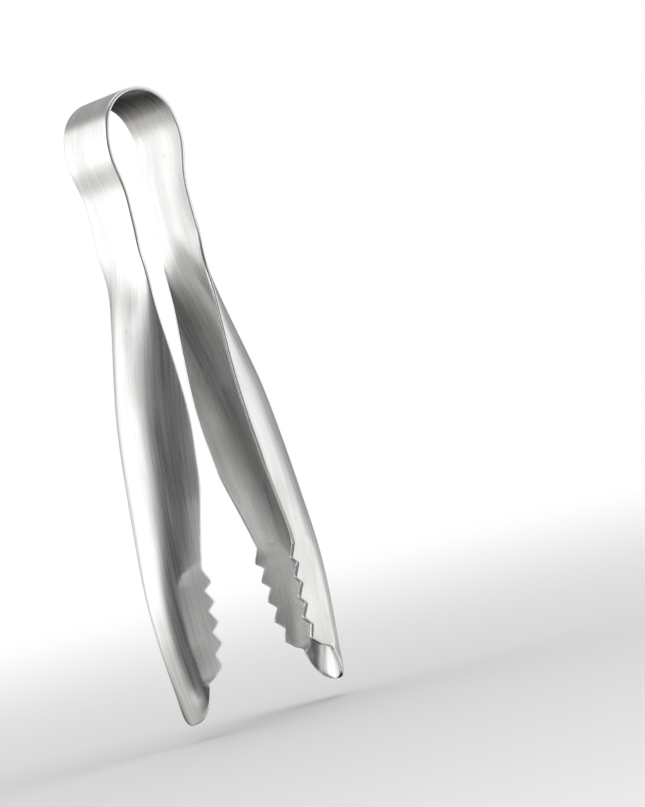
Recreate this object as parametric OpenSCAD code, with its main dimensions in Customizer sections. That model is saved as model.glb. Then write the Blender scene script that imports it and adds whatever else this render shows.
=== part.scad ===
// Sprung ice tongs, bent and stamped from one strip of stainless steel.
// +Z is up, X is the way the arms open, Y is across the strip.
// The origin is the centre of the bow's crown, and the arms hang below it.
// Each zone of the strip is a solid of its own, and the zones meet face to face.

/* [Strip] */
// Thickness of the steel
strip_t = 0.9; // [0.7:0.1:1]
// Width of the bow's crown
crown_w = 20; // [18:0.5:22]
// Width of the flat shank
shank_w = 18.2; // [16:0.2:20]

/* [Bow] */
// Outer radius of the crown
crown_r = 10; // [9:0.5:12]
// Angle from the top of the crown to where it meets the sprung side
crown_half_angle = 72; // [68:1:74]

/* [Arm] */
// Length of the crest line from the crown's edge to the tip
arm_len = 144; // [143:0.5:146]
// Where the sprung side ends, measured along the crest line
spring_end = 20; // [16:1:22]
// Where the stiffening channel starts
channel_start = 30; // [27:1:32]
// Where the toothed jaw starts
jaw_start = 104; // [102:1:105]

/* [Channel] */
// Depth of the channel at its deepest
channel_depth = 12.7; // [11:0.1:13]
// Half the channel's width at its widest
channel_half_w = 10.8; // [10:0.1:11.2]
// How far a flank has turned from the crest at its edge
flank_turn = 80; // [70:1:84]

/* [Jaw] */
// Number of teeth on each flank
tooth_count = 5; // [4:1:5]
// Distance from one tooth to the next
tooth_pitch = 5.5; // [5:0.1:5.6]
// Height of a tooth
tooth_h = 2; // [1:0.1:2.2]
// Part of the pitch that a tooth takes to rise
tooth_rise = 0.65; // [0.5:0.05:0.8]
// Where the first tooth starts to rise, measured along the crest line
teeth_start = 107.8; // [107.4:0.1:108]
// Depth of the jaw's flanks
jaw_depth = 11; // [10:0.1:11.6]
// Half the jaw's width where it starts
jaw_half_w = 8.8; // [8.4:0.1:9.2]
// Half the jaw's width where the rounded tip starts
tip_half_w = 6.6; // [6:0.2:7]

/* [Hidden] */

$fn = 96;
steel = [0.78, 0.78, 0.77];

// A share or a difference too small to matter
tiny = 0.001;

// How far the crest line leans outwards, in degrees, at each distance along it
crest_lean = [
    [0, 90 - crown_half_angle], [4.5, 8], [9.5, -10.5], [12.5, -15], [15.5, -11], [18.5, 0.5],
    [26, 1], [33, 12.2], [41, 22.2], [49, 16.5], [61, 13.2], [79, 7],
    [107, 6], [117, -0.5], [137, -9.3], [arm_len, -10]
];

teeth_end = teeth_start + tooth_count * tooth_pitch;
teeth_mid = teeth_start + 0.45 * (teeth_end - teeth_start);
teeth_low = teeth_start + 0.75 * (teeth_end - teeth_start);
// Length of the step behind the last tooth
heel_len = 0.6;
// Where the channel is widest, where it has its full depth, and where it starts to get smaller
channel_widest = 72;
channel_full = 78;
channel_fades = 88;
// How gently the channel starts
depth_softness = 1.08;
// Where the tip starts to be rounded, how square its outline is, and its width and depth at the very end
tip_start = 138;
tip_power = 2.4;
tip_blunt = 0.25;
end_depth = 1;
// Share of the flank's turn that is left behind the last tooth
tip_flank = 0.84;

// Half the strip's width at each distance along the crest line
half_widths = [
    [0, crown_w / 2], [spring_end, shank_w / 2], [channel_start + 4, shank_w / 2],
    [channel_widest, channel_half_w], [channel_fades, channel_half_w - 0.2],
    [jaw_start, jaw_half_w], [jaw_start + 8, jaw_half_w - 0.8], [tip_start, tip_half_w]
];

// Depth of the flanks past the place where the channel is fully formed
lower_depths = [
    [channel_full, channel_depth], [channel_fades, channel_depth], [jaw_start, jaw_depth],
    [teeth_mid, jaw_depth], [teeth_low, 0.95 * jaw_depth], [teeth_end, 0.73 * jaw_depth],
    [tip_start, 0.54 * jaw_depth], [tip_start + 3, 0.35 * jaw_depth], [arm_len, end_depth]
];

// The toothed flanks are pressed flat, from this turn of the section to the edge
press_start = teeth_start - 2.3;
pressed_from = [
    [press_start, flank_turn], [teeth_start - 0.8, 64], [teeth_start + 0.7, 54], [teeth_start + 3.2, 48],
    [teeth_low, 47], [teeth_end, 52], [tip_start, flank_turn]
];
// How far the pressed flat leans in at the edge
pressed_lean = [[press_start, 0], [teeth_end, 1], [tip_start, 1], [arm_len, 0]];

crest_step = 0.5;
station_gap = 2.5;
tip_gap = 1;
// Points across the strip, from one edge to the other
across = 15;

function travel(s) = let (lean = lookup(s, crest_lean)) [sin(lean), -cos(lean)];
function outward(s) = let (lean = lookup(s, crest_lean)) [cos(lean), sin(lean)];

crown_edge = crown_r * [sin(crown_half_angle), cos(crown_half_angle)];
crest_line = [
    for (
        s = 0, p = crown_edge;
        s <= arm_len;
        p = p + crest_step * travel(s + crest_step / 2), s = s + crest_step
    )
        [s, p.x, p.y]
];
crest_x = [for (c = crest_line) [c[0], c[1]]];
crest_z = [for (c = crest_line) [c[0], c[2]]];
function crest(s) = [lookup(s, crest_x), lookup(s, crest_z)];

// The tip's outline is a quarter of a squared ellipse
function tip_share(s) =
    let (place = max(0, min(1, (s - tip_start) / (arm_len - tip_start))))
    max(tip_blunt, pow(1 - pow(place, tip_power), 1 / tip_power));
function half_width(s) = tip_share(s) * lookup(min(s, tip_start), half_widths);

function forming(s) = (s - channel_start) / (channel_full - channel_start);
function depth(s) = s <= channel_start ? 0
    : s < channel_full ? channel_depth * sin(90 * pow(forming(s), depth_softness))
    : lookup(s, lower_depths);

function tooth_phase(s) = (s - teeth_start) / tooth_pitch - floor((s - teeth_start) / tooth_pitch + tiny);
function tooth(s) = s < teeth_start || s > teeth_end - tiny ? 0
    : let (phase = max(0, tooth_phase(s)))
      tooth_h * (phase < tooth_rise ? phase / tooth_rise : (1 - phase) / (1 - tooth_rise));

// The flanks are cut back behind the last tooth
function flank_left(s) = lookup(s, [[teeth_end, 1], [teeth_end + heel_len, tip_flank]]);

// The section at s as [across, inwards], for a turn away from the crest
function curve(s, turn) = [
    half_width(s) * sin(turn) / sin(flank_turn),
    depth(s) * (1 - cos(turn)) / (1 - cos(flank_turn))
];
// The same section with its toothed flank pressed flat
function pressed(s, turn) =
    let (
        from = lookup(s, pressed_from),
        share = max(0, (turn - from) / max(tiny, flank_turn - from)),
        start = curve(s, from),
        edge = curve(s, flank_turn) - [lookup(s, pressed_lean), 0]
    )
    share <= 0 ? curve(s, turn) : start + share * (edge - start);

// One point of the section at s. share runs from -1 at one edge to 1 at the other.
function section_point(s, share, inset) =
    let (
        turn = flank_turn * abs(share) * flank_left(s),
        ahead = pressed(s, turn) - pressed(s, turn - 1),
        unit = [ahead.y, -ahead.x] / norm(ahead),
        bite = abs(share) > 1 - tiny ? tooth(s) : 0,
        point = pressed(s, turn) - inset * unit,
        place = crest(s) - (point.y + bite) * outward(s)
    )
    share == 0 ? [crest(s).x - inset * outward(s).x, 0, crest(s).y - inset * outward(s).y]
    : [place.x, sign(share) * point.x, place.y];

function section(s) = concat(
    [for (i = [0 : across - 1]) section_point(s, 2 * i / (across - 1) - 1, 0)],
    [for (i = [across - 1 : -1 : 0]) section_point(s, 2 * i / (across - 1) - 1, strip_t)]
);

// Evenly spaced distances from one place on the crest line to another
function spaced(from, to, gap) =
    let (n = ceil((to - from) / gap))
    [for (i = [0 : n]) from + (to - from) * i / n];

// The strip between the first and the last of the stations, as one closed solid
module strip(stations) {
    ring = 2 * across;
    last = len(stations) - 1;
    points = [for (s = stations) each section(s)];
    sides = [
        for (i = [0 : last - 1], j = [0 : ring - 1])
            let (a = i * ring + j, b = i * ring + (j + 1) % ring)
            each [[a, b, b + ring], [a, b + ring, a + ring]]
    ];
    ends = [
        for (j = [0 : across - 2], k = [0, last * ring])
            let (quad = [k + j, k + j + 1, k + ring - 2 - j, k + ring - 1 - j])
            k == 0 ? [quad[3], quad[2], quad[1], quad[0]] : quad
    ];
    polyhedron(points = points, faces = concat(sides, ends), convexity = 6);
}

// The crown is a true cylinder, so that a round rail fits in it
module bow_crown() {
    color(steel)
        rotate([90, 0, 0])
            rotate([0, 0, 90 - crown_half_angle])
                rotate_extrude(angle = 2 * crown_half_angle)
                    translate([crown_r - strip_t, -crown_w / 2])
                        square([strip_t, crown_w]);
}

// The side of the bow and the upper shoulder, which bend when the tongs are squeezed
module bow_spring() {
    color(steel) strip(spaced(0, spring_end, 1));
}

// The flat shank
module shank() {
    color(steel) strip(spaced(spring_end, channel_start + 2, 2));
}

// The part of the arm that its folded flanks make stiff
module channel() {
    color(steel) strip(spaced(channel_start + 2, jaw_start, station_gap));
}

// The end of the arm, with teeth on both flanks and a rounded tip
module jaw() {
    rises = [
        for (i = [0 : tooth_count - 1], phase = [0, tooth_rise])
            teeth_start + (i + phase) * tooth_pitch
    ];
    color(steel)
        strip(concat(
            [jaw_start, press_start, teeth_start - 0.8], rises, [teeth_end],
            spaced(teeth_end + heel_len, tip_start - tip_gap, station_gap), spaced(tip_start, arm_len, tip_gap)
        ));
}

bow_crown();
mirror([1, 0, 0]) bow_spring();  // bow_spring_left
bow_spring();  // bow_spring_right
mirror([1, 0, 0]) shank();  // shank_left
shank();  // shank_right
mirror([1, 0, 0]) channel();  // channel_left
channel();  // channel_right
mirror([1, 0, 0]) jaw();  // jaw_left
jaw();  // jaw_right
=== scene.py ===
import math

import bpy
import numpy as np
from mathutils import Matrix, Vector


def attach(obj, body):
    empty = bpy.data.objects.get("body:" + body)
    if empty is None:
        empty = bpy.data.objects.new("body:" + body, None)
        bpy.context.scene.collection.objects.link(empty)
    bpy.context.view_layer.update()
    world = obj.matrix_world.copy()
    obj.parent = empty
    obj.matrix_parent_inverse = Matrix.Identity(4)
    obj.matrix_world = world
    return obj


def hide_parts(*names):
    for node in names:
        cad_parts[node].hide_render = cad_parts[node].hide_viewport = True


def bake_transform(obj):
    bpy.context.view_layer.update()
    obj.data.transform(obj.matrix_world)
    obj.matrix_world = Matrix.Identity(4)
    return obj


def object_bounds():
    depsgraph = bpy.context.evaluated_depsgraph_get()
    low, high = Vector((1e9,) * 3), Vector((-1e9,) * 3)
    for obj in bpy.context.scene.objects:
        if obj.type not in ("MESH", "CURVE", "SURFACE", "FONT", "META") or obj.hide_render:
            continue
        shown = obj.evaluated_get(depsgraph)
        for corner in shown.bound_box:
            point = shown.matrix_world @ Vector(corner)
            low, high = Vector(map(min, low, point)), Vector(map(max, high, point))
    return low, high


# One strip of brushed steel, built as a run of rings from the left tip over the bow to the right tip,
# and cut into the nine pieces of the CAD.

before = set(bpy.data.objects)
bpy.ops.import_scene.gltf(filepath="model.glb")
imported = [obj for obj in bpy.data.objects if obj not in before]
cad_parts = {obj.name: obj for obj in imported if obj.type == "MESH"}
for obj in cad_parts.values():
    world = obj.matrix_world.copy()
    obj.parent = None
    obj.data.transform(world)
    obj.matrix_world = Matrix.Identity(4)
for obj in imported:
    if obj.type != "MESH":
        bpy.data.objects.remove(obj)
cad_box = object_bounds()
scene = bpy.context.scene

MM = 0.001

# ---------------------------------------------------------------- camera

# Angles in degrees, distances in metres
VIEW_AZIMUTH = -35.03
VIEW_DOWN = 0.81
VIEW_ROLL = -14.43
VIEW_DISTANCE = 0.79
VIEW_TARGET = Vector((0.0274, -0.0140, -0.0734))
LENS_MM = 147.66
SENSOR_MM = 36
CLIP_NEAR = 0.01
CLIP_FAR = 50


def make_camera():
    camera = bpy.data.objects.new("camera", bpy.data.cameras.new("camera"))
    scene.collection.objects.link(camera)
    azimuth, down = math.radians(VIEW_AZIMUTH), math.radians(VIEW_DOWN)
    forward = Vector((
        -math.sin(azimuth) * math.cos(down), math.cos(azimuth) * math.cos(down), -math.sin(down)))
    turn = forward.to_track_quat("-Z", "Y").to_matrix()
    turn = turn @ Matrix.Rotation(math.radians(VIEW_ROLL), 3, "Z")
    camera.matrix_world = (
        Matrix.Translation(VIEW_TARGET - forward * VIEW_DISTANCE) @ turn.to_4x4())
    camera.data.lens = LENS_MM
    camera.data.sensor_width = SENSOR_MM
    camera.data.clip_start = CLIP_NEAR
    camera.data.clip_end = CLIP_FAR
    scene.camera = camera


make_camera()

# ---------------------------------------------------------------- strip geometry, in mm

STRIP_T = 0.9
CROWN_R = 10.0
CROWN_HALF_ANGLE = 72.0
CROWN_W = 20.0
SHANK_W = 18.2
ARM_LEN = 144.0
SPRING_END = 20.0
CHANNEL_START = 30.0
SHANK_END = 32.0
JAW_START = 104.0
# How far a flank has turned from the crest at its edge
FLANK_TURN_DEG = 80
FLANK_TURN = math.radians(FLANK_TURN_DEG)
CHANNEL_WIDEST = 72.0
CHANNEL_FULL = 78.0
CHANNEL_FADES = 88.0
CHANNEL_DEPTH = 12.7
# How gently the channel starts
DEPTH_SOFTNESS = 1.08
JAW_DEPTH = 11.0
TEETH_START = 107.8
TOOTH_COUNT = 5
TOOTH_PITCH = 5.5
TOOTH_RISE = 0.65
TOOTH_H = 2.0
TEETH_END = TEETH_START + TOOTH_COUNT * TOOTH_PITCH
# Where the jaw's flanks start to get shallower, and where they do so faster
TEETH_MID = 120.0
TEETH_LOW = 128.4
# Length of the step behind the last tooth, and the share of the flank's turn that is left there
HEEL_LEN = 0.7
TIP_FLANK = 0.84
# Where the tip starts to be rounded, and how square its outline is
TIP_START = 138.0
TIP_POWER = 2.4

# Each table of knots gives a value at some distances along the crest line.
# Degrees that the crest line leans outwards
LEAN_KNOTS = [
    (0, 90 - CROWN_HALF_ANGLE), (4.5, 8), (9.5, -10.5), (12.5, -15), (15.5, -11), (18.5, 0.5),
    (26, 1), (33, 12.2), (41, 22.2), (49, 16.5), (61, 13.2), (79, 7),
    (107, 6), (117, -0.5), (137, -9.3), (ARM_LEN, -10)]
# Half the strip's width
HALF_WIDTH_KNOTS = [
    (0, CROWN_W / 2), (SPRING_END, SHANK_W / 2), (CHANNEL_START + 4, SHANK_W / 2),
    (CHANNEL_WIDEST, 10.8), (CHANNEL_FADES, 10.6), (JAW_START, 8.8), (JAW_START + 8, 8),
    (TIP_START, 6.6)]
# Depth of the flanks past the place where the channel is fully formed
LOWER_DEPTH_KNOTS = [
    (CHANNEL_FULL, CHANNEL_DEPTH), (CHANNEL_FADES, CHANNEL_DEPTH), (JAW_START, JAW_DEPTH),
    (TEETH_MID, JAW_DEPTH), (TEETH_LOW, 10.4), (TEETH_END, 8), (TIP_START, 5.9), (TIP_START + 3, 3.9),
    (ARM_LEN, 1)]

# Length of the crown's arc from its top to its edge
CROWN_RUN = CROWN_R * math.radians(CROWN_HALF_ANGLE)
# Step between the fine samples along the strip
FINE = 0.05
# Distances along the crest line. 0 is the crown's edge, and the crown's top is at -CROWN_RUN.
S = np.arange(0, round((CROWN_RUN + ARM_LEN) / FINE) + 1) * FINE - CROWN_RUN


def lookup(knots, s):
    places, values = zip(*knots)
    return np.interp(s, places, values)


def softened(values, reach):
    """Moving average whose reach falls to nothing at the crown's edge and at the tip."""
    total = np.concatenate([[0], np.cumsum((values[1:] + values[:-1]) / 2 * FINE)])
    width = np.clip(np.minimum(S, ARM_LEN - S), 0, reach)
    summed = np.interp(S + width, S, total) - np.interp(S - width, S, total)
    return np.where(width > FINE, summed / np.maximum(2 * width, FINE), values)


def running(values, start):
    """Running sum of the values along the strip."""
    return start + np.concatenate([[0], np.cumsum((values[1:] + values[:-1]) / 2 * FINE)])


lean_deg = np.where(S < 0, 90 - np.degrees((S + CROWN_RUN) / CROWN_R), lookup(LEAN_KNOTS, S))
LEAN = np.radians(softened(lean_deg, reach=3.0))
CREST_X = running(np.sin(LEAN), 0.0)
CREST_Z = running(-np.cos(LEAN), CROWN_R)

# The tip's outline is a quarter of a squared ellipse
tip_place = np.clip((S - TIP_START) / (ARM_LEN - TIP_START), 0, 1)
tip_share = np.maximum(0.0, 1 - tip_place ** TIP_POWER) ** (1 / TIP_POWER)
HALF = softened(lookup(HALF_WIDTH_KNOTS, S), reach=4.0) * tip_share

forming = np.clip((S - CHANNEL_START) / (CHANNEL_FULL - CHANNEL_START), 0, 1)
upper_depth = CHANNEL_DEPTH * np.sin(np.pi / 2 * forming ** DEPTH_SOFTNESS)
DEPTH = softened(np.where(S < CHANNEL_FULL, upper_depth, lookup(LOWER_DEPTH_KNOTS, S)), reach=2.0)
# The flanks are cut back behind the last tooth
FLANK_LEFT = lookup([(TEETH_END, 1), (TEETH_END + HEEL_LEN, TIP_FLANK)], S)


def tooth(s):
    """Height of the teeth above the flank's edge."""
    place = (s - TEETH_START) / TOOTH_PITCH
    phase = place - np.floor(place + 1e-6)
    height = np.where(phase < TOOTH_RISE, phase / TOOTH_RISE, (1 - phase) / (1 - TOOTH_RISE))
    return np.where((s < TEETH_START) | (s > TEETH_END), 0.0, TOOTH_H * height)


BITE = softened(tooth(S), reach=0.5)

# The toothed flanks are pressed flat from this turn of the section to the edge
PRESS_START = 105.5
FACET_TURN_KNOTS = [
    (PRESS_START, FLANK_TURN_DEG), (107, 66), (108.5, 54), (111, 48), (126, 47), (TEETH_END, 52),
    (TIP_START, FLANK_TURN_DEG)]
# How far the pressed flat leans in at the edge, past the straight line to it
FACET_SINK_KNOTS = [(PRESS_START, 0), (TEETH_END, 1.0), (TIP_START, 1.0), (ARM_LEN, 0)]
FACET_TURN = softened(lookup(FACET_TURN_KNOTS, S), reach=0.6)
FACET_SINK = softened(lookup(FACET_SINK_KNOTS, S), reach=1.0)
# Share of a V in the section, from where the channel starts, and how round the V's point is
VEE_KNOTS = [(40, 0.3), (50, 0.25), (68, 0)]
VEE_ROUND = 0.3

# Radius of the cut edge's outer corner, larger where the teeth are stamped, and of its inner corner
EDGE_OUT_KNOTS = [(JAW_START, 0.36), (TEETH_START, 0.55), (TIP_START, 0.5)]
EDGE_IN = 0.2
# The corners get smaller where the flank is short or the strip is thin
EDGE_OUT_SHARE = 0.25
EDGE_IN_SHARE = 0.3
# The strip is never narrower than this, nor thicker than this share of half its width
MIN_HALF = 0.02
MAX_THICK_SHARE = 0.7

# Points on half a section: on its calm inner part, on the rim with the teeth, and on each corner
INNER_ROWS = 26
RIM_ROWS = 5
EDGE_STEPS = 3
TURN_SAMPLES = 90


def half_curve(s):
    """Fine samples of the section from the crest to one edge.

    Distances from the crest, points as (across, inwards), tangents, and half the width.
    """
    half = max(float(np.interp(s, S, HALF)), MIN_HALF)
    deep = float(np.interp(s, S, DEPTH))
    turn = np.linspace(0, FLANK_TURN, TURN_SAMPLES)
    a = half / math.sin(FLANK_TURN)
    d = deep / (1 - math.cos(FLANK_TURN))
    across = a * np.sin(turn)
    vee = float(lookup(VEE_KNOTS, s))
    place = np.sin(turn) / math.sin(FLANK_TURN)
    vee_height = math.hypot(1, VEE_ROUND) - VEE_ROUND
    vee_in = deep * (np.hypot(place, VEE_ROUND) - VEE_ROUND) / vee_height
    inwards = (1 - vee) * d * (1 - np.cos(turn)) + vee * vee_in
    bend = math.radians(float(np.interp(s, S, FACET_TURN)))
    if bend < FLANK_TURN - 0.01:
        share = np.clip((turn - bend) / (FLANK_TURN - bend), 0, 1)
        flat = turn > bend
        start = (a * math.sin(bend), d * (1 - math.cos(bend)))
        across = np.where(flat, start[0] + share * (across[-1] - start[0]), across)
        inwards = np.where(flat, start[1] + share * (inwards[-1] - start[1]), inwards)
        across = across - share * float(np.interp(s, S, FACET_SINK))
    step = np.stack([np.diff(across), np.diff(inwards)], 1)
    length = np.concatenate([[0], np.cumsum(np.hypot(step[:, 0], step[:, 1]))])
    slope = np.gradient(np.stack([across, inwards], 1), axis=0)
    slope /= np.linalg.norm(slope, axis=1)[:, None]
    return length, np.stack([across, inwards], 1), slope, half


COARSE = np.arange(0, ARM_LEN + CROWN_RUN, 0.25) - CROWN_RUN
# Coarse samples to each side that the calm part looks at for its lowest edge, and is averaged over
LOWEST_REACH = 16
CALM_REACH = 12
# Least height of the rim, in mm, and the largest share of the flank that is calm
RIM_LEAST = 0.5
CALM_SHARE = 0.85


def cut_length(s):
    """Length of the section from the crest to the cut edge, without the teeth."""
    turn = np.interp(s, S, FLANK_LEFT) * FLANK_TURN
    return np.interp(turn, np.linspace(0, FLANK_TURN, TURN_SAMPLES), half_curve(s)[0])


def around(values, reach, combine):
    """The lowest or the mean, as combine says, of the values within reach of each one."""
    return np.array([combine(values[max(0, k - reach):k + reach + 1]) for k in range(len(values))])


cut_len = np.array([cut_length(s) for s in COARSE])
calm = around(around(cut_len, LOWEST_REACH, np.min), CALM_REACH, np.mean)
CUT_LEN = np.interp(S, COARSE, cut_len)
# The rows of points up to here run smoothly past the teeth
CALM_LEN = np.minimum(np.interp(S, COARSE, calm) - RIM_LEAST, CUT_LEN * CALM_SHARE)


def half_section(s):
    """Outer points, tangents and distances from the crest to where one edge's corner starts.

    Also the flank's whole length, the corner's radius and half the width.
    """
    length, curve, slope, half = half_curve(s)
    total = float(np.interp(s, S, CUT_LEN)) + float(np.interp(s, S, BITE))
    calm_to = float(np.interp(s, S, CALM_LEN))
    radius = min(float(lookup(EDGE_OUT_KNOTS, s)), EDGE_OUT_SHARE * total)
    v = np.concatenate([
        np.linspace(0, calm_to, INNER_ROWS + 1),
        np.linspace(calm_to, total - radius, RIM_ROWS + 1)[1:]])
    beyond = np.maximum(v - length[-1], 0)
    points = np.stack([np.interp(v, length, curve[:, 0]), np.interp(v, length, curve[:, 1])], 1)
    tangents = np.stack([np.interp(v, length, slope[:, 0]), np.interp(v, length, slope[:, 1])], 1)
    tangents /= np.linalg.norm(tangents, axis=1)[:, None]
    points += beyond[:, None] * tangents
    return points, tangents, v, total, radius, half


def ring(s):
    """One closed ring of the strip at s.

    Points as (across, inwards), their distances across the strip and from the cut edge, and
    whether they are on the inner face: 0 outside, 0.5 on the edge, 1 inside.
    """
    points, tangents, v, total, radius, half = half_section(s)
    thick = min(STRIP_T, MAX_THICK_SHARE * half)
    radius_in = min(EDGE_IN, EDGE_IN_SHARE * thick)
    normals = np.stack([tangents[:, 1], -tangents[:, 0]], 1)
    t, n = tangents[-1], normals[-1]
    edge_p, edge_v = [], []
    centre_out = points[-1] - n * radius
    centre_in = points[-1] + t * (radius - radius_in) - n * (thick - radius_in)
    corners = (
        (radius, centre_out, range(1, EDGE_STEPS + 1)),
        (radius_in, centre_in, range(0, EDGE_STEPS + 1)))
    for corner, (size, centre, steps) in enumerate(corners):
        for k in steps:
            angle = math.pi / 2 * (k / EDGE_STEPS + corner)
            edge_p.append(centre + size * (n * math.cos(angle) + t * math.sin(angle)))
            edge_v.append(v[-1] + radius * (1 + k + corner * EDGE_STEPS))
    inner = points - normals * thick
    side_p = np.concatenate([points, edge_p, inner[::-1]])
    side_v = np.concatenate([v, edge_v, v[::-1]])
    side_e = np.concatenate([total - v, np.zeros(len(edge_p)), total - v[::-1]])
    inside = np.concatenate([
        np.zeros(len(points)), np.full(len(edge_p), 0.5), np.ones(len(points))])
    # the other half runs back from the inner crest to the outer one, without either crest point twice
    mirror = slice(-2, 0, -1)
    flip = np.array([-1, 1])
    return (
        np.concatenate([side_p, side_p[mirror] * flip]),
        np.concatenate([side_v, -side_v[mirror]]),
        np.concatenate([side_e, side_e[mirror]]),
        np.concatenate([inside, inside[mirror]]))


# Keeps the brushing of the inner face apart from that of the outer one
FACE_OFFSET = 50.0


def rings(stations, side):
    """All the rings of one arm: points in metres, (along, across, face) in mm, mm from the edge."""
    co, strip, wear = [], [], []
    for s in stations:
        p, v, e, inside = ring(s)
        lean = float(np.interp(s, S, LEAN))
        x = float(np.interp(s, S, CREST_X)) - p[:, 1] * math.cos(lean)
        z = float(np.interp(s, S, CREST_Z)) - p[:, 1] * math.sin(lean)
        co.append(np.stack([side * x, p[:, 0], z], 1) * MM)
        strip.append(np.stack([np.full(len(v), (s + CROWN_RUN) * side), v, inside * FACE_OFFSET], 1))
        wear.append(e)
    return np.array(co), np.array(strip), np.array(wear)


def spaced(start, end, gap):
    """Evenly spaced distances along the crest line."""
    return list(np.linspace(start, end, max(1, math.ceil((end - start) / gap - 1e-6)) + 1))


def joined(*runs):
    """The runs one after another, without a distance twice."""
    stations = []
    for s in (s for run in runs for s in run):
        if not stations or s > stations[-1] + 1e-6:
            stations.append(s)
    return stations


# Rings stand this close to each valley and each peak of the teeth
VALLEY = 0.12
PEAK = 0.15
TIP_STEP_DEG = 4

teeth = []
for i in range(TOOTH_COUNT):
    start = TEETH_START + i * TOOTH_PITCH
    peak = start + TOOTH_RISE * TOOTH_PITCH
    teeth += [start - VALLEY, start, start + VALLEY]
    teeth += spaced(start + VALLEY, peak - PEAK, gap=0.5)[1:]
    teeth += [peak, peak + PEAK]
    teeth += spaced(peak + PEAK, start + TOOTH_PITCH - VALLEY, gap=0.45)[1:]
tip = [
    TIP_START + (ARM_LEN - TIP_START) * math.sin(math.radians(a)) for a in range(0, 90, TIP_STEP_DEG)]
ZONES = {
    "spring": spaced(0, SPRING_END, gap=0.5),
    "shank": spaced(SPRING_END, SHANK_END, gap=0.75),
    "channel": spaced(SHANK_END, JAW_START, gap=0.8),
    "jaw": joined(
        spaced(JAW_START, TEETH_START - VALLEY, gap=0.5), teeth,
        spaced(TEETH_END, TEETH_END + HEEL_LEN, gap=0.14),
        spaced(TEETH_END + HEEL_LEN, TIP_START, gap=0.4), tip),
}


def grid_normals(co):
    """Smooth normals of a whole run of rings, from its faces."""
    rows, count, _ = co.shape
    normals = np.zeros_like(co)
    across = np.roll(co, -1, axis=1)
    for k in range(rows - 1):
        a, b, c, d = co[k], across[k], across[k + 1], co[k + 1]
        face = np.cross(d - b, c - a)
        for row, shift in ((k, 0), (k, 1), (k + 1, 1), (k + 1, 0)):
            normals[row] += np.roll(face, shift, axis=0)
    return normals / np.linalg.norm(normals, axis=2)[:, :, None]


# Strip lengths in mm become texture coordinates at this scale
UV_PER_MM = 0.01


def strip_piece(name, co, normals, strip, wear):
    """A closed mesh through some of the rings."""
    rows, count, _ = co.shape
    faces = []
    for k in range(rows - 1):
        for j in range(count):
            faces.append((
                (k + 1) * count + j, (k + 1) * count + (j + 1) % count,
                k * count + (j + 1) % count, k * count + j))
    # Each end is closed between the outer and the inner face of either half
    half = count // 2
    for k in (0, rows - 1):
        for j in range((half + 1) // 2):
            right = (j, j + 1, half - 1 - j, half - j)
            left = (half + j, half + j + 1, count - 1 - j, (count - j) % count)
            for quad in (right, left):
                quad = tuple(dict.fromkeys(k * count + v for v in quad))
                if len(quad) > 2:
                    faces.append(quad if k == 0 else quad[::-1])
    mesh = bpy.data.meshes.new(name)
    mesh.from_pydata(co.reshape(-1, 3).tolist(), [], faces)
    mesh.polygons.foreach_set("use_smooth", [True] * len(mesh.polygons))
    tube = (rows - 1) * count
    corner = []
    smooth = normals.reshape(-1, 3)
    for polygon in mesh.polygons:
        for v in polygon.vertices:
            corner.append(tuple(smooth[v]) if polygon.index < tube else tuple(polygon.normal))
    uv = mesh.uv_layers.new(name="strip")
    strip_mm = strip.reshape(-1, 3)
    uv.data.foreach_set("uv", np.array([
        (strip_mm[loop.vertex_index][1] * UV_PER_MM, strip_mm[loop.vertex_index][0] * UV_PER_MM)
        for loop in mesh.loops]).ravel())
    place = mesh.attributes.new("strip_mm", "FLOAT_VECTOR", "POINT")
    place.data.foreach_set("vector", strip_mm.ravel())
    worn = mesh.attributes.new("edge_mm", "FLOAT", "POINT")
    worn.data.foreach_set("value", wear.ravel())
    mesh.normals_split_custom_set(corner)
    mesh.validate()
    obj = bpy.data.objects.new(name, mesh)
    scene.collection.objects.link(obj)
    return obj


# ---------------------------------------------------------------- materials


class Tree:
    """Short calls for building a node tree."""

    def __init__(self, tree):
        self.tree = tree
        tree.nodes.clear()

    def add(self, kind, **settings):
        made = self.tree.nodes.new(kind)
        for key, value in settings.items():
            setattr(made, key, value)
        return made

    def put(self, socket, value):
        if isinstance(value, bpy.types.NodeSocket):
            self.tree.links.new(value, socket)
        else:
            socket.default_value = value

    def math(self, operation, *values):
        made = self.add("ShaderNodeMath", operation=operation)
        for socket, value in zip(made.inputs, values):
            self.put(socket, value)
        return made.outputs[0]

    def vector(self, operation, *values):
        made = self.add("ShaderNodeVectorMath", operation=operation)
        for socket, value in zip(made.inputs, values):
            self.put(socket, value)
        return made.outputs["Value" if operation == "DOT_PRODUCT" else "Vector"]

    def ramp(self, value, low, high, out_low=0.0, out_high=1.0):
        made = self.add("ShaderNodeMapRange", interpolation_type="SMOOTHSTEP")
        for socket, part in zip(made.inputs, (value, low, high, out_low, out_high)):
            self.put(socket, part)
        return made.outputs[0]

    def mix(self, share, a, b):
        made = self.add("ShaderNodeMix", data_type="RGBA")
        self.put(made.inputs[0], share)
        self.put(made.inputs[6], a)
        self.put(made.inputs[7], b)
        return made.outputs[2]

    def noise(self, place, scales, detail=2.0, roughness=0.5, distortion=0.0):
        stretched = self.vector("MULTIPLY", place, scales)
        made = self.add("ShaderNodeTexNoise")
        self.put(made.inputs["Vector"], stretched)
        made.inputs["Scale"].default_value = 1.0
        made.inputs["Detail"].default_value = detail
        made.inputs["Roughness"].default_value = roughness
        made.inputs["Distortion"].default_value = distortion
        return made.outputs["Fac"]


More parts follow.
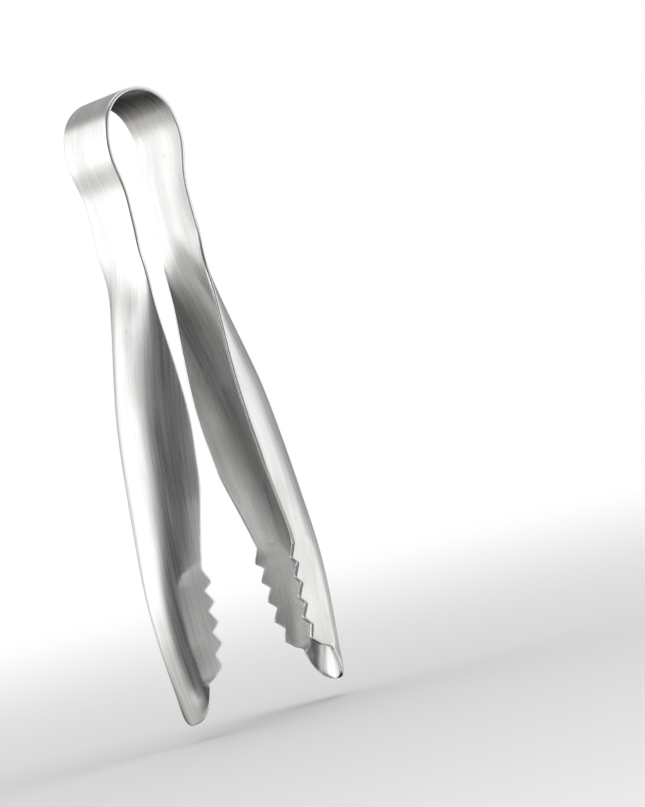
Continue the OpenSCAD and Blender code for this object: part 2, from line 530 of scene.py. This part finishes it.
STEEL_DARK = (0.60, 0.60, 0.595, 1)
STEEL_LIGHT = (0.80, 0.80, 0.79, 1)
STEEL_CLOUD = (0.56, 0.555, 0.545, 1)
STEEL_NICK = (0.42, 0.41, 0.40, 1)
STEEL_RIM = (0.84, 0.84, 0.83, 1)


def brushed_steel():
    """Stainless steel brushed along the strip, with soft clouds, small nicks and a polished rim."""
    material = bpy.data.materials.new("brushed_stainless")
    material.use_nodes = True
    t = Tree(material.node_tree)
    place = t.add("ShaderNodeAttribute", attribute_name="strip_mm").outputs["Vector"]
    edge = t.add("ShaderNodeAttribute", attribute_name="edge_mm").outputs["Fac"]

    # The scales are per mm along the strip, across it, and from one face to the other
    fine = t.noise(place, (0.05, 3.4, 1.0), detail=3.0, roughness=0.6)
    coarse = t.noise(place, (0.022, 0.95, 1.0), detail=2.0)
    cloud = t.noise(place, (0.045, 0.16, 1.0), detail=2.0)
    spots = t.noise(place, (0.5, 0.9, 1.0), detail=1.0, distortion=1.2)
    nicks = t.ramp(spots, 0.70, 0.78)
    rim = t.ramp(edge, 0.0, 0.7, 1.0, 0.0)

    streak = t.math("ADD", t.math("MULTIPLY", fine, 0.62), t.math("MULTIPLY", coarse, 0.38))
    lifted = t.ramp(streak, 0.34, 0.66)
    colour = t.mix(lifted, STEEL_DARK, STEEL_LIGHT)
    colour = t.mix(t.math("MULTIPLY", t.ramp(cloud, 0.4, 0.7), 0.25), colour, STEEL_CLOUD)
    colour = t.mix(t.math("MULTIPLY", nicks, 0.35), colour, STEEL_NICK)
    colour = t.mix(t.math("MULTIPLY", rim, 0.6), colour, STEEL_RIM)

    rough = t.math("ADD", 0.23, t.math("MULTIPLY", lifted, 0.10))
    rough = t.math("ADD", rough, t.math("MULTIPLY", t.ramp(cloud, 0.35, 0.7), 0.06))
    rough = t.math("SUBTRACT", rough, t.math("MULTIPLY", rim, 0.06))

    height = t.math("ADD", t.math("MULTIPLY", fine, 0.7), t.math("MULTIPLY", coarse, 0.5))
    height = t.math("SUBTRACT", height, t.math("MULTIPLY", nicks, 0.4))
    bump = t.add("ShaderNodeBump")
    bump.inputs["Strength"].default_value = 0.35
    bump.inputs["Distance"].default_value = 0.012 * MM
    t.put(bump.inputs["Height"], height)

    tangent = t.add("ShaderNodeTangent", direction_type="UV_MAP", uv_map="strip")
    shader = t.add("ShaderNodeBsdfPrincipled")
    shader.inputs["Metallic"].default_value = 1.0
    shader.inputs["Anisotropic"].default_value = 0.65
    t.put(shader.inputs["Base Color"], colour)
    t.put(shader.inputs["Roughness"], rough)
    t.put(shader.inputs["Normal"], bump.outputs["Normal"])
    t.put(shader.inputs["Tangent"], tangent.outputs["Tangent"])
    out = t.add("ShaderNodeOutputMaterial")
    t.put(out.inputs["Surface"], shader.outputs[0])
    return material


steel = brushed_steel()

# ---------------------------------------------------------------- pieces

arm_stations = joined(spaced(-CROWN_RUN, 0, gap=0.45), *ZONES.values())


def full_run(left, right):
    """Left tip to right tip as one run of rings."""
    return np.concatenate([left[::-1], right[1:]])


run_co, run_strip, run_wear = map(full_run, rings(arm_stations, -1), rings(arm_stations, 1))
run_normals = grid_normals(run_co)
middle = len(arm_stations) - 1
index_of = {round(s, 6): i for i, s in enumerate(arm_stations)}


def cut(name, first, last):
    """The piece between two rings of the whole run, counted from the crown's top."""
    rows = slice(middle + first, middle + last + 1)
    obj = strip_piece(name, run_co[rows], run_normals[rows], run_strip[rows], run_wear[rows])
    obj.data.materials.append(steel)
    return obj


crown_count = index_of[0.0]
crown = cut("strip_crown", -crown_count, crown_count)
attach(crown, "bow")
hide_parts("bow_crown")

for side, word in ((1, "right"), (-1, "left")):
    for zone, stations in ZONES.items():
        first, last = index_of[round(stations[0], 6)], index_of[round(stations[-1], 6)]
        span = (first, last) if side == 1 else (-last, -first)
        piece = cut(f"strip_{zone}_{word}", *span)
        if zone == "spring":
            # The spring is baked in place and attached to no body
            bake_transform(piece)
            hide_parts(f"bow_spring_{word}")
        else:
            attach(piece, f"arm_{word}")
            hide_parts(f"{zone}_{word}")

# ---------------------------------------------------------------- floor and light

FLOOR_R = 0.6
FLOOR_SIDES = 96
# Distance from the tips down to the floor
FLOOR_GAP = 4 * MM
FLOOR_COLOUR = (0.86, 0.86, 0.86, 1)
# The floor fades out from this distance to this share of its radius
FADE_START = 0.02
FADE_END = 0.95


def make_floor():
    """A pale disc that fades out towards its rim."""
    mesh = bpy.data.meshes.new("floor")
    angles = [2 * math.pi * k / FLOOR_SIDES for k in range(FLOOR_SIDES)]
    rim = [(FLOOR_R * math.cos(a), FLOOR_R * math.sin(a), 0) for a in angles]
    mesh.from_pydata(rim, [], [tuple(range(FLOOR_SIDES))])
    floor = bpy.data.objects.new("floor", mesh)
    floor.location = (0, 0, cad_box[0].z - FLOOR_GAP)
    scene.collection.objects.link(floor)
    material = bpy.data.materials.new("pale_floor")
    material.use_nodes = True
    t = Tree(material.node_tree)
    place = t.add("ShaderNodeTexCoord").outputs["Object"]
    length = t.add("ShaderNodeVectorMath", operation="LENGTH")
    t.put(length.inputs[0], place)
    fade = t.ramp(length.outputs["Value"], FADE_START, FLOOR_R * FADE_END)
    diffuse = t.add("ShaderNodeBsdfDiffuse")
    diffuse.inputs["Color"].default_value = FLOOR_COLOUR
    clear = t.add("ShaderNodeBsdfTransparent")
    both = t.add("ShaderNodeMixShader")
    t.put(both.inputs[0], fade)
    t.put(both.inputs[1], diffuse.outputs[0])
    t.put(both.inputs[2], clear.outputs[0])
    out = t.add("ShaderNodeOutputMaterial")
    t.put(out.inputs["Surface"], both.outputs[0])
    mesh.materials.append(material)
    floor.visible_glossy = False


# Soft panels of light in the surroundings, in degrees: the azimuths of both sides and how soft each
# is, the elevations of the lower and upper side and how soft each is, and the panel's radiance
PANELS = [
    (186, 320, 16, 20, -90, -10, 1, 4, 0.60),
    (36, 104, 10, 7, -90, -6, 1, 4, 0.03),
    (36, 119, 10, 7, -90, -18, 1, 4, 0.03),
    (200, 262, 8, 6, -20, 60, 5, 8, 0.11),
    (250, 294, 6, 12, -8, 60, 4, 8, 0.11),
    (208, 300, 12, 12, 14, 60, 6, 8, 0.22),
    (306, 352, 8, 8, -40, 50, 5, 8, 1.4),
    (100, 205, 22, 8, -8, 30, 4, 5, 1.65),
    (190, 216, 8, 8, 16, 28, 4, 4, 1.0),
    (156, 215, 10, 10, 25, 62, 4, 8, 0.30),
]
AMBIENT = (0.34, 0.34, 0.335, 1)
ZENITH = (1.35, 1.35, 1.35, 1)
UNDER = (0.71, 0.695, 0.665, 1)
WHITE = (1, 1, 1, 1)
# Elevations in degrees between which the surroundings change to the zenith's light and to the floor's
ZENITH_RISE = (38, 62)
UNDER_FALL = (-1, -6)


def make_world():
    """The light around the part: soft panels to the steel, and plain white to the camera."""
    world = bpy.data.worlds.new("studio")
    scene.world = world
    world.use_nodes = True
    t = Tree(world.node_tree)
    way = t.add("ShaderNodeTexCoord").outputs["Generated"]
    parts = t.add("ShaderNodeSeparateXYZ")
    t.put(parts.inputs[0], way)
    height = t.math("ARCSINE", parts.outputs["Z"])
    colour = t.mix(t.ramp(height, *map(math.radians, ZENITH_RISE)), AMBIENT, ZENITH)
    colour = t.mix(t.ramp(height, *map(math.radians, UNDER_FALL)), colour, UNDER)
    for start, end, start_soft, end_soft, low, high, low_soft, high_soft, radiance in PANELS:
        middle_way = math.radians((start + end) / 2)
        ahead = t.vector("DOT_PRODUCT", way, (math.cos(middle_way), math.sin(middle_way), 0))
        aside = t.vector("DOT_PRODUCT", way, (-math.sin(middle_way), math.cos(middle_way), 0))
        off = t.math("ARCTAN2", aside, ahead)
        half = math.radians(end - start) / 2
        soft = math.radians(start_soft), math.radians(end_soft)
        inside = t.math("MULTIPLY", t.ramp(off, -half - soft[0], -half + soft[0]),
                        t.ramp(off, half + soft[1], half - soft[1]))
        above = t.ramp(height, math.radians(low - low_soft), math.radians(low + low_soft))
        below = t.ramp(height, math.radians(high + high_soft), math.radians(high - high_soft))
        share = t.math("MULTIPLY", inside, t.math("MULTIPLY", above, below))
        colour = t.mix(share, colour, (radiance, radiance, radiance, 1))
    seen = t.add("ShaderNodeLightPath").outputs["Is Camera Ray"]
    colour = t.mix(seen, colour, WHITE)
    background = t.add("ShaderNodeBackground")
    t.put(background.inputs["Color"], colour)
    out = t.add("ShaderNodeOutputWorld")
    t.put(out.inputs["Surface"], background.outputs[0])


make_floor()
make_world()
scene.view_settings.view_transform = "Standard"
